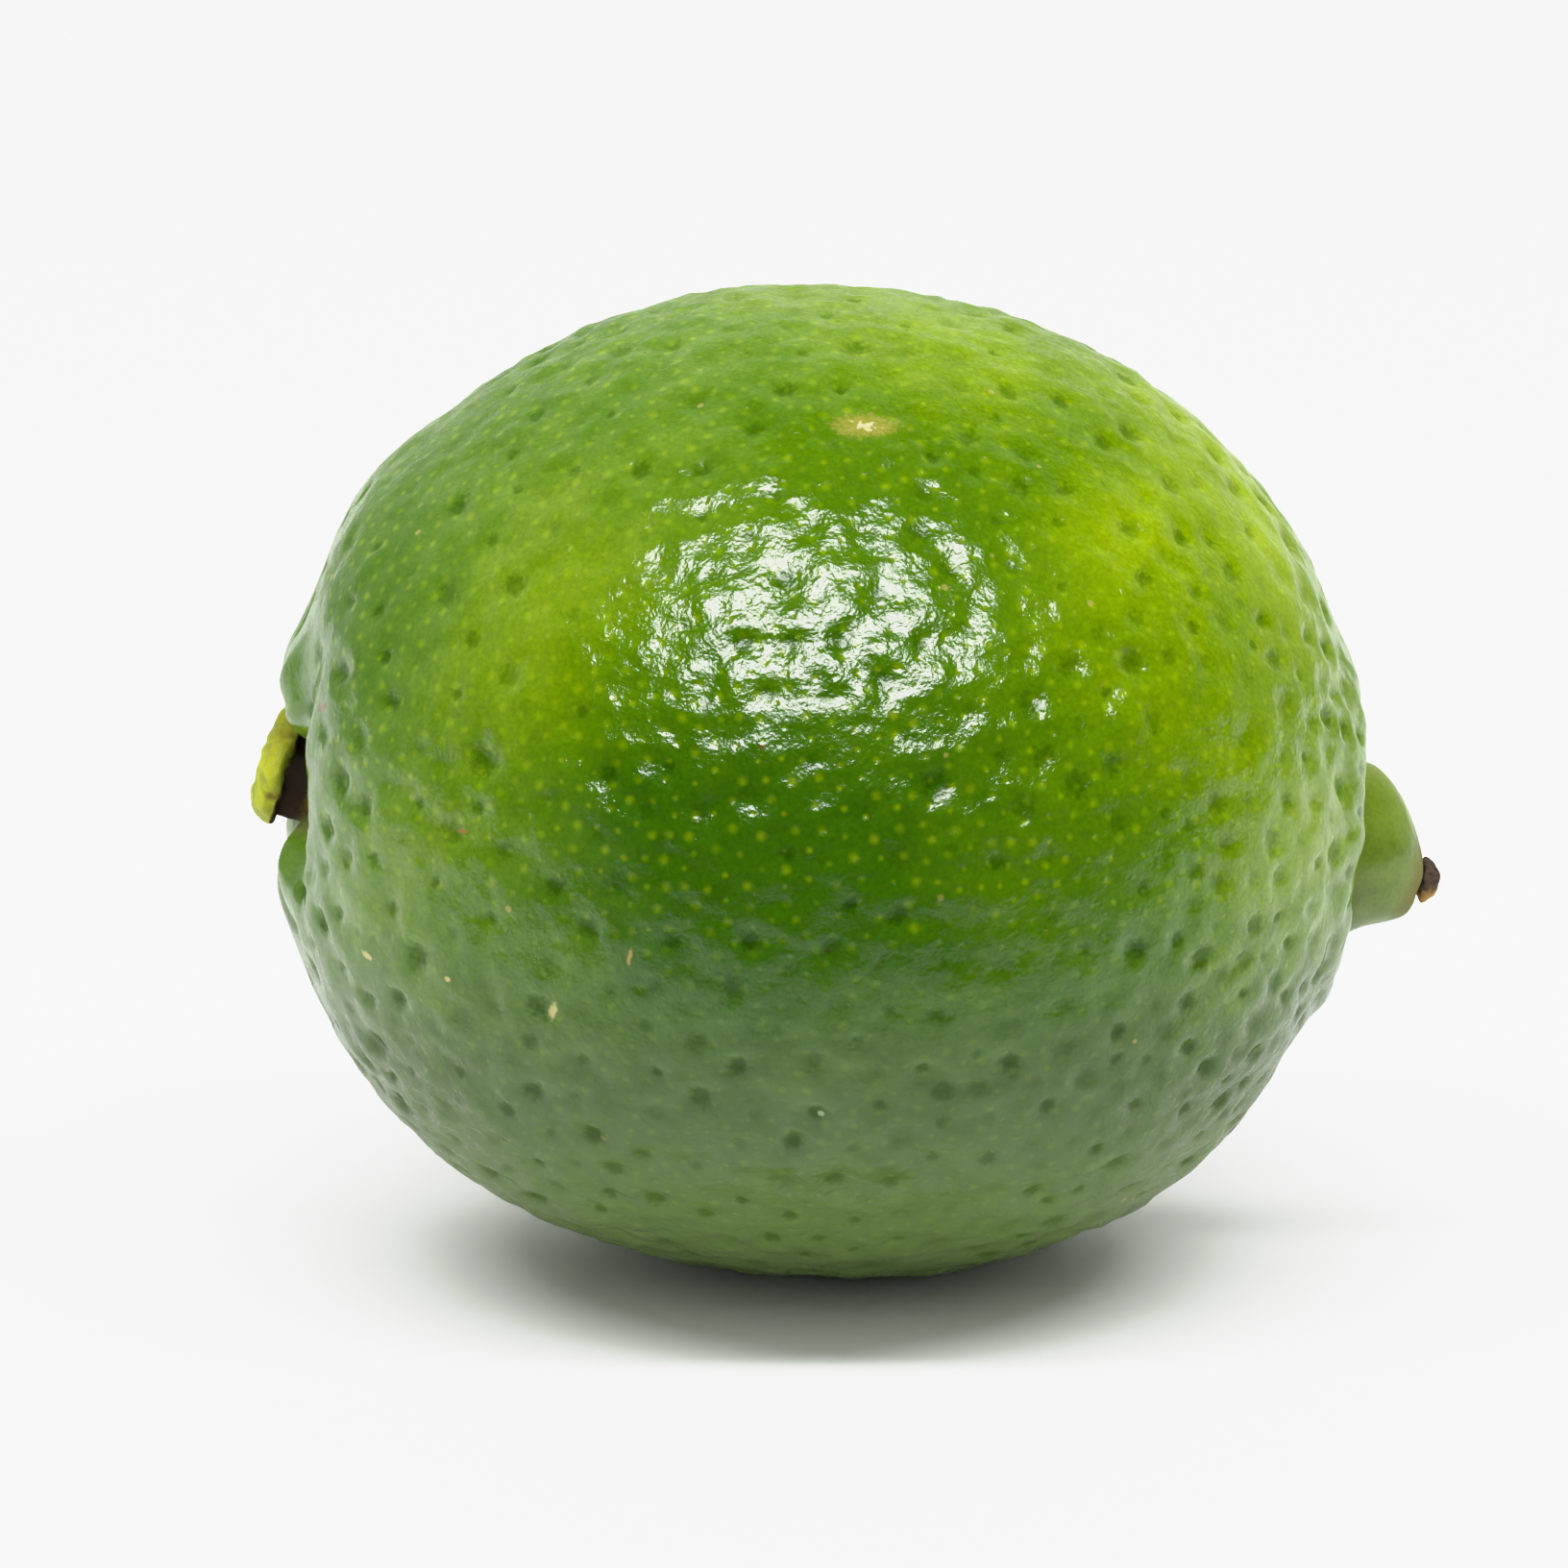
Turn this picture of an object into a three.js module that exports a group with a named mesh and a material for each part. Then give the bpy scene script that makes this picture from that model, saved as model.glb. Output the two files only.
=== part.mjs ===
// A ripe Persian lime lying on its side, in millimetres, +Z up.
// +X runs from the stem end to the nipple end, and the fruit rests on a small flat spot at z = 0.
// The origin is on that level, below the middle of the whole lime's bounding box.
// It has three pieces: the fruit, the calyx on its stem end and the dry stub of the flower's style.
import * as THREE from 'three';
import { ImprovedNoise } from 'three/addons/math/ImprovedNoise.js';

// Fruit: an ovoid whose poles hang a little below its middle.
const FRUIT_RADIUS = 25.9;
const STEM_HALF_LENGTH = 27.6;
const NIPPLE_HALF_LENGTH = 28.4;
const STEM_FULLNESS = 2.1; // superellipse exponent, where 2 is a plain ellipse
const NIPPLE_FULLNESS = 2.17;
const LYING_TILT = 5.6; // degrees that the nipple end lies lower than the stem end
const STEM_DROP = 2.6;
const NIPPLE_DROP = 0.6;
const DROP_POWER = 4; // how closely the drops keep to the two ends
const FLAT_SPOT_DEPTH = 0.42;

// Stem end: the calyx sits in a basin, inside a collar and a furrow that low ribs cross.
const STEM_SEAT_RADIUS = 2.4;
const BASIN_RADIUS = 5.2;
const BASIN_DEPTH = 1.6;
const COLLAR_FURROW_RADIUS = 9.5;
const COLLAR_FURROW_WIDTH = 3;
const COLLAR_FURROW_DEPTH = 0.28;
const SHOULDER_RADIUS = 15;
const SHOULDER_WIDTH = 4;
const SHOULDER_HEIGHT = 0.25;
const SHOULDER_LEAN = 0.55; // how much more the upper side of the shoulder bulges
const RIB_COUNT = 7; // one of them underneath
const RIB_RADIUS = 8.5;
const RIB_REACH = 4;
const RIB_HEIGHT = 0.32;

// Nipple end: a blunt nipple, with its tip low, that rises from a furrow.
const FURROW_RADIUS = 5.2;
const FURROW_RIM_RADIUS = 8;
const FURROW_DEPTH = 0.7;
const HOLLOW_RADIUS = 11; // a slight hollow below the nipple
const HOLLOW_WIDTH = 4;
const HOLLOW_DEPTH = 0.6;
const NIPPLE_RADIUS = 4.45;
const NIPPLE_HEIGHT = 4.95; // of the whole dome, before its tip is cut off flat
const NIPPLE_BLUNTNESS = 1.8;
const NIPPLE_TIP_DROP = 1.9;
const STYLE_SEAT_RADIUS = 1.45;

// Rind: shallow dimples, drawn coarser than life, on a slightly uneven surface.
const DIMPLE_DRAWS = 6000;
const DIMPLE_SPACING = 3.9; // the least distance between two dimples
const DIMPLE_RADIUS = 2.2;
const DIMPLE_DEPTH = 0.5;
const DIMPLE_SEED = 11;
const UNEVENNESS = 0.16;
const UNEVENNESS_SCALE = 6.5;

// Calyx: a five-lobed disc on a short neck, with the scar of the broken stalk in its middle.
const CALYX_RADIUS = 3.0;
const CALYX_THICKNESS = 1.2;
const CALYX_LOBES = 5;
const CALYX_LOBE_DEPTH = 0.09;
const CALYX_TILT = 13; // degrees more than the fruit, so that its lower edge stands off the rind
const NECK_RADIUS = 1.9;
const NECK_HEIGHT = 0.95;
const STALK_SCAR_RADIUS = 1.2;
const STALK_SCAR_HEIGHT = 0.25;

// Style stub: a dry, shrunken knob.
const STYLE_RADIUS = 1.2;
const STYLE_LENGTH = 0.65;

const JOIN_GAP = 0.25; // between a piece and the seat that it grows on
const FRUIT_SEGMENTS = 88;
const CALYX_SEGMENTS = 50;
const STYLE_SEGMENTS = 18;

const { degToRad, smoothstep, lerp } = THREE.MathUtils;
const fruitRadiusOf = (point) => Math.hypot(point.x, point.z);
const bell = (distance, width) => Math.exp(-((distance / width) ** 2));

// A repeatable draw between 0 and 1.
function seededDraw(seed) {
  let state = seed;
  return () => {
    state = (state * 1664525 + 1013904223) % 4294967296;
    return state / 4294967296;
  };
}

// The ovoid's half outline as seen by the lathe: x is the radius and y runs along the axis.
function ovoidPoint(turn, halfLength, fullness) {
  const radius = FRUIT_RADIUS * Math.sin(turn) ** (2 / fullness);
  return new THREE.Vector2(radius, halfLength * Math.cos(turn) ** (2 / fullness));
}

// From the middle of the stem seat to the widest ring.
function stemHalf(steps) {
  const firstTurn = Math.asin((STEM_SEAT_RADIUS / FRUIT_RADIUS) ** (STEM_FULLNESS / 2));
  const points = [];
  for (let i = 0; i <= steps; i++) {
    const turn = lerp(firstTurn, Math.PI / 2, (i / steps) ** 1.15);
    const point = ovoidPoint(turn, STEM_HALF_LENGTH, STEM_FULLNESS);
    const depth = BASIN_DEPTH * (1 - smoothstep(point.x, STEM_SEAT_RADIUS, BASIN_RADIUS));
    points.push(new THREE.Vector2(point.x, depth - point.y));
  }
  return [new THREE.Vector2(0, points[0].y), ...points];
}

// From just past the widest ring to the bottom of the furrow round the nipple.
function nippleHalf(steps) {
  const lastTurn = Math.asin((FURROW_RADIUS / FRUIT_RADIUS) ** (NIPPLE_FULLNESS / 2));
  const points = [];
  for (let i = 1; i <= steps; i++) {
    const turn = lerp(lastTurn, Math.PI / 2, (1 - i / steps) ** 1.1);
    const point = ovoidPoint(turn, NIPPLE_HALF_LENGTH, NIPPLE_FULLNESS);
    const depth = FURROW_DEPTH * (1 - smoothstep(point.x, FURROW_RADIUS, FURROW_RIM_RADIUS));
    points.push(new THREE.Vector2(point.x, point.y - depth));
  }
  return points;
}

// From the furrow up the nipple's dome to the middle of the style's seat.
function nippleDome(furrowLevel, steps) {
  const seatShare = (1 - (STYLE_SEAT_RADIUS / NIPPLE_RADIUS) ** 2) ** (1 / NIPPLE_BLUNTNESS);
  const points = [];
  for (let i = 0; i <= steps; i++) {
    const share = seatShare * Math.sin(((i / steps) * Math.PI) / 2);
    const radius = NIPPLE_RADIUS * Math.sqrt(1 - share ** NIPPLE_BLUNTNESS);
    points.push(new THREE.Vector2(radius, furrowLevel + NIPPLE_HEIGHT * share));
  }
  return [...points, new THREE.Vector2(0, points[steps].y)];
}

// Draws dimples among the vertices of the smooth fruit, so that each one shows in its coarse mesh.
function scatterDimples(geometry) {
  const draw = seededDraw(DIMPLE_SEED);
  const position = geometry.getAttribute('position');
  const dimples = [];
  for (let i = 0; i < DIMPLE_DRAWS; i++) {
    const centre = new THREE.Vector3().fromBufferAttribute(position, Math.floor(draw() * position.count));
    const depth = DIMPLE_DEPTH * lerp(0.6, 1, draw());
    const isClear = dimples.every((other) => other.centre.distanceTo(centre) > DIMPLE_SPACING);
    if (isClear) dimples.push({ centre, depth });
  }
  return dimples;
}

function dimpleDepth(point, dimples) {
  const depths = dimples.map(({ centre, depth }) => {
    const share = Math.min(1, point.distanceTo(centre) / DIMPLE_RADIUS);
    return depth * (1 - share * share) ** 2;
  });
  return Math.max(...depths);
}

const noise = new ImprovedNoise();

// How far the stem end's shoulder, ribs and furrow stand above the ovoid.
function stemEndRelief(radius, around) {
  const shoulder = SHOULDER_HEIGHT + SHOULDER_LEAN * Math.cos(around);
  const rib = RIB_HEIGHT * Math.cos(RIB_COUNT * (around - Math.PI));
  return (
    shoulder * bell(radius - SHOULDER_RADIUS, SHOULDER_WIDTH) +
    rib * bell(radius - RIB_RADIUS, RIB_REACH) -
    COLLAR_FURROW_DEPTH * bell(radius - COLLAR_FURROW_RADIUS, COLLAR_FURROW_WIDTH)
  );
}

function nippleEndRelief(radius, around) {
  const underneath = Math.max(0, -Math.cos(around)) ** 2;
  return -HOLLOW_DEPTH * underneath * bell(radius - HOLLOW_RADIUS, HOLLOW_WIDTH);
}

// Height of the rind above the smooth ovoid. It dies out towards the two seats and the nipple.
function rindRelief(point, dimples) {
  const radius = fruitRadiusOf(point);
  const around = Math.atan2(point.x, point.z);
  const uneven = UNEVENNESS * noise.noise(...point.toArray().map((value) => value / UNEVENNESS_SCALE));
  const skin = uneven - dimpleDepth(point, dimples);
  return point.y < 0
    ? smoothstep(radius, STEM_SEAT_RADIUS, BASIN_RADIUS) * (skin + stemEndRelief(radius, around))
    : smoothstep(radius, FURROW_RADIUS, FURROW_RIM_RADIUS) * (skin + nippleEndRelief(radius, around));
}

// Takes a point from the upright lathe shape to the lying fruit: the poles hang, then all of it tilts.
function layDown(point, furrowLevel) {
  const [along, sideways, up] = [point.y, -point.x, point.z];
  const [halfLength, drop] = along < 0 ? [STEM_HALF_LENGTH, STEM_DROP] : [furrowLevel, NIPPLE_DROP];
  const hang = drop * Math.min(1, Math.abs(along) / halfLength) ** DROP_POWER;
  const nippleShare = Math.max(0, (along - furrowLevel) / NIPPLE_HEIGHT);
  const tipHang = NIPPLE_TIP_DROP * nippleShare ** 3;
  point.set(along, sideways, up - hang - tipHang);
  return point.applyAxisAngle(new THREE.Vector3(0, 1, 0), degToRad(LYING_TILT));
}

// Moves every vertex of a geometry by a function of its place and its normal.
function reshape(geometry, move) {
  const position = geometry.getAttribute('position');
  const normal = geometry.getAttribute('normal');
  const point = new THREE.Vector3();
  const outward = new THREE.Vector3();
  for (let i = 0; i < position.count; i++) {
    point.fromBufferAttribute(position, i);
    outward.fromBufferAttribute(normal, i);
    move(point, outward);
    position.setXYZ(i, point.x, point.y, point.z);
  }
  geometry.computeVertexNormals();
  return geometry;
}

// Presses the lowest part of the fruit flat, and returns the level of the flat spot.
function flattenUnderside(geometry) {
  geometry.computeBoundingBox();
  const level = geometry.boundingBox.min.z + FLAT_SPOT_DEPTH;
  reshape(geometry, (point) => point.setZ(Math.max(point.z, level)));
  return level;
}

function makeFruit(name) {
  const body = [...stemHalf(26), ...nippleHalf(24)];
  const furrowLevel = body[body.length - 1].y;
  const outline = [...body, ...nippleDome(furrowLevel, 7)];
  const geometry = new THREE.LatheGeometry(outline, FRUIT_SEGMENTS);
  const dimples = scatterDimples(geometry);
  reshape(geometry, (point, outward) => {
    layDown(point.addScaledVector(outward, rindRelief(point, dimples)), furrowLevel);
  });
  const restLevel = flattenUnderside(geometry);
  const rind = new THREE.MeshStandardMaterial({ color: '#4f8a1c', roughness: 0.38, metalness: 0 });
  const fruit = new THREE.Mesh(geometry, rind);
  fruit.name = name;
  const seat = (end) => layDown(new THREE.Vector3(0, end.y, 0), furrowLevel);
  return { fruit, restLevel, stemSeat: seat(outline[0]), styleSeat: seat(outline[outline.length - 1]) };
}

function makeCalyx(name) {
  const outline = [
    new THREE.Vector2(0, -NECK_HEIGHT),
    new THREE.Vector2(NECK_RADIUS, -NECK_HEIGHT),
    new THREE.Vector2(NECK_RADIUS, -0.4 * NECK_HEIGHT),
    new THREE.Vector2(0.85 * CALYX_RADIUS, 0),
    new THREE.Vector2(0.98 * CALYX_RADIUS, 0.2 * CALYX_THICKNESS),
    new THREE.Vector2(CALYX_RADIUS, 0.5 * CALYX_THICKNESS),
    new THREE.Vector2(0.92 * CALYX_RADIUS, 0.8 * CALYX_THICKNESS),
    new THREE.Vector2(0.75 * CALYX_RADIUS, 0.97 * CALYX_THICKNESS),
    new THREE.Vector2(0.55 * CALYX_RADIUS, CALYX_THICKNESS),
    new THREE.Vector2(STALK_SCAR_RADIUS, 0.9 * CALYX_THICKNESS),
    new THREE.Vector2(0.92 * STALK_SCAR_RADIUS, CALYX_THICKNESS + STALK_SCAR_HEIGHT),
    new THREE.Vector2(0.7 * STALK_SCAR_RADIUS, CALYX_THICKNESS + 0.6 * STALK_SCAR_HEIGHT),
    new THREE.Vector2(0, CALYX_THICKNESS + 0.5 * STALK_SCAR_HEIGHT),
  ];
  const geometry = new THREE.LatheGeometry(outline, CALYX_SEGMENTS);
  reshape(geometry, (point) => {
    const lobe = Math.cos(CALYX_LOBES * Math.atan2(point.x, point.z));
    const share = smoothstep(fruitRadiusOf(point), STALK_SCAR_RADIUS, CALYX_RADIUS);
    const inDisc = smoothstep(point.y, -0.5 * NECK_HEIGHT, 0);
    const spread = 1 + CALYX_LOBE_DEPTH * lobe * share * inDisc;
    point.set(point.x * spread, point.y, point.z * spread);
  });
  geometry.rotateZ(Math.PI / 2);
  const sepal = new THREE.MeshStandardMaterial({ color: '#a8b020', roughness: 0.6, metalness: 0 });
  const calyx = new THREE.Mesh(geometry, sepal);
  calyx.name = name;
  return calyx;
}

function makeStyleStub(name) {
  const outline = [
    new THREE.Vector2(0, 0),
    new THREE.Vector2(STYLE_RADIUS, 0),
    new THREE.Vector2(0.9 * STYLE_RADIUS, 0.35 * STYLE_LENGTH),
    new THREE.Vector2(0.93 * STYLE_RADIUS, 0.7 * STYLE_LENGTH),
    new THREE.Vector2(0.7 * STYLE_RADIUS, STYLE_LENGTH),
    new THREE.Vector2(0.35 * STYLE_RADIUS, 0.9 * STYLE_LENGTH),
    new THREE.Vector2(0, 0.8 * STYLE_LENGTH),
  ];
  const geometry = new THREE.LatheGeometry(outline, STYLE_SEGMENTS);
  geometry.rotateZ(-Math.PI / 2);
  const driedStyle = new THREE.MeshStandardMaterial({ color: '#4a3526', roughness: 0.85, metalness: 0 });
  const stub = new THREE.Mesh(geometry, driedStyle);
  stub.name = name;
  return stub;
}

function makeLime() {
  const { fruit, restLevel, stemSeat, styleSeat } = makeFruit('lime_fruit');
  const tilt = degToRad(LYING_TILT);
  const alongAxis = new THREE.Vector3(Math.cos(tilt), 0, -Math.sin(tilt));

  const calyx = makeCalyx('calyx_button');
  const calyxTilt = degToRad(CALYX_TILT);
  const discHeight = JOIN_GAP + NECK_RADIUS * Math.sin(calyxTilt) + NECK_HEIGHT * Math.cos(calyxTilt);
  calyx.rotation.y = tilt + calyxTilt;
  calyx.position.copy(stemSeat).addScaledVector(alongAxis, -discHeight);

  const stub = makeStyleStub('style_stub');
  stub.rotation.y = tilt;
  stub.position.copy(styleSeat).addScaledVector(alongAxis, JOIN_GAP);

  const lime = new THREE.Group();
  lime.add(fruit, calyx, stub);
  const box = new THREE.Box3().setFromObject(lime, true);
  const middle = box.getCenter(new THREE.Vector3());
  lime.position.set(-middle.x, -middle.y, -restLevel);
  return lime;
}

export default makeLime();
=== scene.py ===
"""A whole lime lying on its side: the pitted, waxy fruit, its calyx button and its style's dry stub.

The meshes are in metres. The sizes below are in millimetres, as a maker would measure them.
"""

import random
from math import atan2, ceil, cos, degrees, exp, hypot, pi, radians, sin, sqrt

import bmesh
import bpy
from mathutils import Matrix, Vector, kdtree
from mathutils.bvhtree import BVHTree
from mathutils.noise import noise, noise_vector, seed_set


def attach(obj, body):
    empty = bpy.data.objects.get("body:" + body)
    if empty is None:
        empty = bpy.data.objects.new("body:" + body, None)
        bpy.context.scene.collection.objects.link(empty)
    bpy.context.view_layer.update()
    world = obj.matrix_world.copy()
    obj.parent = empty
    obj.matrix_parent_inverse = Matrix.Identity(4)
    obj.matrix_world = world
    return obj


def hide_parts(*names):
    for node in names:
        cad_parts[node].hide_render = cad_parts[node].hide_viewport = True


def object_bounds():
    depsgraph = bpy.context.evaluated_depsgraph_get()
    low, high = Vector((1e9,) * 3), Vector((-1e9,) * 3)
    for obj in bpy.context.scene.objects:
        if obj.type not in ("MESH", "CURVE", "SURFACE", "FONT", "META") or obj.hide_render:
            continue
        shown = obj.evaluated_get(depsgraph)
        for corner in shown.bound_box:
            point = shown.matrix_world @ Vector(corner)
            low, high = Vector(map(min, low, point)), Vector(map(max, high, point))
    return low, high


bl_info = {
    "name": "Lime",
    "version": (1, 0, 0),
    "blender": (4, 5, 0),
    "location": "3D View > Sidebar > Lime",
    "description": "Builds a lime with its calyx and style stub on a white studio floor",
    "category": "Add Mesh",
}

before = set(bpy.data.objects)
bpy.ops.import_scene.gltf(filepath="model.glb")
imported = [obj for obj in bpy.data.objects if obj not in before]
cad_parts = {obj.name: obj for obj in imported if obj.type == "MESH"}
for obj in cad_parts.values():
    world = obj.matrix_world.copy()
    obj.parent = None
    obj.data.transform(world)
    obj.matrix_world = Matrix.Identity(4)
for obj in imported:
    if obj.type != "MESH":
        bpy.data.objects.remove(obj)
CAD_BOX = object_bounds()

MM = 0.001

# The fruit's own axis runs from the stem end to the nipple end, and hangs a little at the nipple.
AXIS_TILT = radians(5.6)
AXIS = Vector((cos(AXIS_TILT), 0, -sin(AXIS_TILT)))
AXIS_UP = Vector((sin(AXIS_TILT), 0, cos(AXIS_TILT)))
TOWARDS_FRONT = Vector((0, -1, 0))
CENTRE = Vector((-1.6, 0, 25.5))


def linear(hex_colour):
    """An sRGB hex colour as the linear RGBA that Blender's colours hold."""
    channels = [int(hex_colour[i : i + 2], 16) / 255 for i in (1, 3, 5)]
    light = [c / 12.92 if c <= 0.04045 else ((c + 0.055) / 1.055) ** 2.4 for c in channels]
    return (*light, 1)


def clamp(value, low=0, high=1):
    """The value, kept between the two limits."""
    return min(high, max(low, value))


def ease(share):
    """A smooth step from 0 to 1 as the share does."""
    share = clamp(share)
    return share * share * (3 - 2 * share)


def hump(distance, reach):
    """1 where the distance is nothing, and next to nothing at twice the reach."""
    return exp(-((distance / reach) ** 2))


def colour_property(name, description, hex_colour):
    """A colour that the sidebar shows."""
    return bpy.props.FloatVectorProperty(
        name=name, description=description, subtype="COLOR", size=4, min=0, max=1,
        default=linear(hex_colour),
    )


def length_property(name, description, millimetres):
    """A length that the sidebar shows."""
    return bpy.props.FloatProperty(
        name=name, description=description, unit="LENGTH", min=0, precision=5, default=millimetres * MM
    )


class LimeSizes(bpy.types.PropertyGroup):
    """Sizes of the rind's relief"""

    pit_spacing: length_property("Pit spacing", "Least distance between two pits of the rind", 1.7)
    pit_depth: length_property("Pit depth", "Depth of the deepest pits", 0.24)
    gland_spacing: length_property("Gland spacing", "Distance between neighbouring oil glands", 1.1)
    gland_radius: length_property("Gland radius", "Radius of an oil gland's pale dot", 0.2)
    unevenness: length_property("Unevenness", "Height of the rind's soft waves", 0.14)


class LimeColours(bpy.types.PropertyGroup):
    """Colours of the rind, the calyx and the style's stub"""

    deep_green: colour_property("Deep green", "Least ripe rind", "#2e5400")
    green: colour_property("Green", "Most of the rind", "#486a00")
    yellow_green: colour_property("Yellow-green", "Riper rind", "#648000")
    lime_yellow: colour_property("Lime yellow", "Ripest patches of the rind", "#829900")
    # Painted shade: the underside colour is a darker, duller green for the rind below the fruit's middle.
    painted_shade_underside: colour_property("Underside", "Dull rind that grew turned from the sun", "#36500c")
    # Painted bounce light: the belly colour is a paler green for the very bottom of the rind.
    belly: colour_property("Belly", "Paler rind of the side that hung lowest", "#5e7638")
    gland: colour_property("Oil glands", "Pale dots of the oil glands", "#8fa500")
    sepal: colour_property("Calyx", "Dried but still green sepals", "#a9b021")
    # The dry edge colour is dead tissue, and under the calyx disc painted shade as well.
    dry_edge_and_painted_shade: colour_property("Dry edge", "Dead, dark tissue under the calyx", "#2a1e10")
    # The bloom colour is partly the real pale wax and partly painted haze, the pale room's reflection
    # painted into the rind.
    bloom_and_painted_haze: colour_property("Bloom", "Thin, pale wax that the rind grew", "#b9c4ae")
    cork: colour_property("Cork", "Brown skin round the style's stub and the calyx", "#74684a")
    dry_style: colour_property("Dry style", "Dead tissue of the style", "#4c3d30")


def deselect_all():
    """Leaves nothing selected."""
    bpy.ops.object.select_all(action="DESELECT")


def choose(piece):
    """Selects one piece alone and makes it the active one."""
    deselect_all()
    piece.select_set(True)
    bpy.context.view_layer.objects.active = piece


def begin_edit(piece):
    """Opens a piece in edit mode, picking faces, with nothing picked."""
    choose(piece)
    bpy.ops.object.mode_set(mode="EDIT")
    bpy.ops.mesh.select_mode(type="FACE")
    bpy.ops.mesh.select_all(action="DESELECT")


def end_edit():
    """Goes back to object mode."""
    bpy.ops.object.mode_set(mode="OBJECT")


def pick_faces(piece, is_wanted):
    """Selects exactly the faces whose middle and normal pass the test."""
    shape = bmesh.from_edit_mesh(piece.data)
    bpy.ops.mesh.select_all(action="DESELECT")
    wanted = [f for f in shape.faces if is_wanted(f.calc_center_median() / MM, f.normal)]
    for face in wanted:
        face.select_set(True)
    bmesh.update_edit_mesh(piece.data)
    if not wanted:
        raise RuntimeError(f"no face of {piece.name} is where it should be picked")


def apply_modifier(piece, kind, **settings):
    """Adds a modifier with these settings and applies it."""
    modifier = piece.modifiers.new(kind.title(), kind)
    for setting, value in settings.items():
        setattr(modifier, setting, value)
    choose(piece)
    bpy.ops.object.modifier_apply(modifier=modifier.name)


def subdivide_smoothly(piece, levels):
    """Rounds a piece off by splitting its faces so many times."""
    apply_modifier(piece, "SUBSURF", levels=levels, render_levels=levels)


def settle(piece, name):
    """Moves a finished piece's place, turn and scale into its mesh, shades it smooth and names it."""
    choose(piece)
    bpy.ops.object.transform_apply(location=True, rotation=True, scale=True)
    bpy.ops.object.shade_smooth()
    piece.name = name
    piece.data.name = name


def add_node(tree, kind, inputs=None, **settings):
    """Adds a node. Each input is set to a value, or linked where it is given another node's output."""
    node = tree.nodes.new("ShaderNode" + kind)
    for setting, value in settings.items():
        setattr(node, setting, value)
    for socket, value in (inputs or {}).items():
        if isinstance(value, bpy.types.NodeSocket):
            tree.links.new(value, node.inputs[socket])
        else:
            node.inputs[socket].default_value = value
    return node


def start_material(name):
    """A new material with an empty tree of nodes."""
    material = bpy.data.materials.new(name)
    material.use_nodes = True
    tree = material.node_tree
    tree.nodes.clear()
    return material, tree


def finish_material(tree, shader):
    """Makes the shader what the material shows."""
    add_node(tree, "OutputMaterial", {"Surface": shader.outputs[0]})


def blend_colours(tree, share, first, second, mode="MIX"):
    """The first colour, with this share of the second blended in."""
    inputs = {0: share, 6: first, 7: second}
    return add_node(tree, "Mix", inputs, data_type="RGBA", blend_type=mode).outputs[2]


def calculate(tree, operation, first, second=0.0, third=0.0):
    """The result of one sum on up to three values."""
    node = add_node(tree, "Math", {0: first, 1: second, 2: third}, operation=operation)
    return node.outputs[0]


def times(tree, first, second):
    """The product of two values."""
    return calculate(tree, "MULTIPLY", first, second)


def fade(tree, value, start, end, low=0.0, high=1.0):
    """A smooth step from low to high as the value goes from start to end."""
    inputs = {"Value": value, 1: start, 2: end, 3: low, 4: high}
    return add_node(tree, "MapRange", inputs, interpolation_type="SMOOTHSTEP").outputs[0]


def calculate_vector(tree, operation, first, second, output=0):
    """The result of one sum on two vectors."""
    return add_node(tree, "VectorMath", {0: first, 1: second}, operation=operation).outputs[output]


def kept(tree, name, output="Fac"):
    """What the mesh keeps under this name."""
    return add_node(tree, "Attribute", attribute_name=name).outputs[output]


def object_place(tree):
    """The shaded point's place on its piece, in metres."""
    return add_node(tree, "TexCoord").outputs["Object"]


def millimetre_place(tree):
    """The shaded point's place on its piece, in millimetres."""
    inputs = {0: object_place(tree), "Scale": 1 / MM}
    return add_node(tree, "VectorMath", inputs, operation="SCALE").outputs[0]


def split(tree, vector):
    """The X, Y and Z of a vector."""
    return add_node(tree, "SeparateXYZ", {0: vector}).outputs


def cloud(tree, place, scale, detail):
    """Smooth random values from 0 to 1, with so many swells in a unit of the place."""
    inputs = {"Vector": place, "Scale": scale, "Detail": detail}
    return add_node(tree, "TexNoise", inputs).outputs["Fac"]


# ---- fruit ----

FRUIT_SEGMENTS = 104
FRUIT_RINGS = 52
FRUIT_RADIUS = 25.9
FRUIT_HALF_LENGTH = 28.0
NIPPLE_FOOT = 4.9  # radius of the end cap that is pulled out into the nipple
# Out from the end cap: height of the step, share of the width kept.
NIPPLE_STEPS = ((0.6, 1.0), (1.1, 0.98), (1.2, 0.93), (1.1, 0.84), (0.6, 0.72))
NIPPLE_CARE = 9.0  # the guide's own relief is kept inside this radius at the nipple
STEM_CARE = 6.3  # and inside this one at the stem end
EVENING_ROUNDS = 14  # of smoothing on the rest of the guide
QUAD_LIMIT = radians(60)  # how bent a pair of the guide's triangles may be to make one face

RIND_SEED = 5
PLACES_TRIED = 90000  # for pits, and again for glands
TRIED_FROM, TRIED_LENGTH = -30, 62  # the stretch of the axis that they are strewn round
PIT_RADIUS = (0.42, 0.9)
SHALLOWEST_PIT = 0.35  # as a share of the deepest one's depth
PIT_STRETCH = 1.1  # the longest pits are this much longer than wide
BROAD_DIMPLE_RADIUS = (1.3, 2.1)
BROAD_DIMPLE_DEPTH = 0.2
PIT_FREE_STEM = 4.5  # no pit's middle lies this near the calyx's
PIT_FREE_NIPPLE = 7.0  # or the axis, at the nipple
WAVE_LENGTHS = (2.3, 1.15)  # of the rind's soft waves
STEM_CREASES = 9  # shallow creases that run out from the calyx
STEM_CREASE_DEPTH = 0.14
STEM_CREASE_RADIUS, STEM_CREASE_REACH = 6, 3.2  # where they are deepest, from the calyx's middle
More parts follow.
